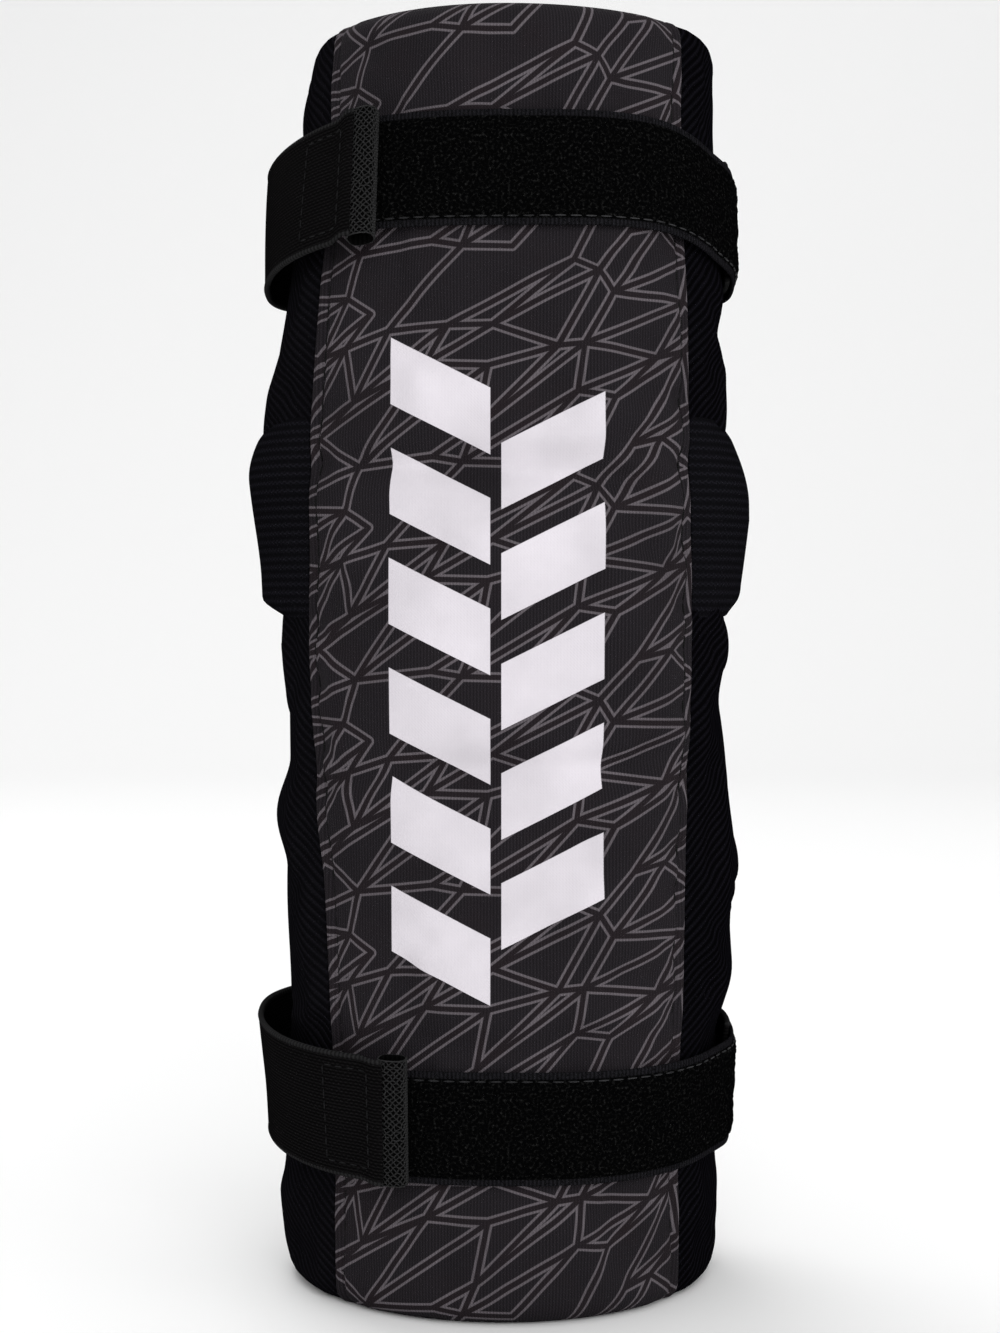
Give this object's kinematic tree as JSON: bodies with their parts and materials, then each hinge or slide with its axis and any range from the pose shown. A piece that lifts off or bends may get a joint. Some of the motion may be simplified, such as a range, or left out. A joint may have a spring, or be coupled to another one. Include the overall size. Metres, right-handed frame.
{
  "type": "lacrosse arm pad",
  "caption": "Padded sleeve that covers the elbow and the arm above and below it, with a printed front panel and elastic straps that hook onto pile strips.",
  "frame": {"origin": "middle of the width and depth, on the surface that the pad stands on", "axes": "+Z along the sleeve from its lower to its upper rim, -Y out of the printed front, +X to the right as seen from the front"},
  "size_m": [0.117, 0.0946, 0.29],
  "materials": {
    "printed_cloth": "charcoal knit with a grey angular line print and a white graphic",
    "ribbed_mesh": "black ribbed knit mesh",
    "stretch_cloth": "smooth black stretch knit",
    "lining_cloth": "thin black knit",
    "loop_pile": "fuzzy black loop pile with knit edges",
    "elastic": "woven black elastic",
    "hook_tape": "black hook tape",
    "tab_tape": "coarse open-weave black tape"
  },
  "bodies": {
    "root": {"front_panel": "printed_cloth", "side_panel_left": "ribbed_mesh", "side_panel_right": "ribbed_mesh", "back_panel": "stretch_cloth", "sleeve_lining": "lining_cloth", "elbow_wing_left": "ribbed_mesh", "elbow_wing_right": "ribbed_mesh", "upper_loop_strip": "loop_pile", "upper_elastic_strap": "elastic", "upper_hook_patch": "hook_tape", "upper_pull_tab": "tab_tape", "lower_loop_strip": "loop_pile", "lower_elastic_strap": "elastic", "lower_hook_patch": "hook_tape", "lower_pull_tab": "tab_tape"}
  },
  "joints": []
}
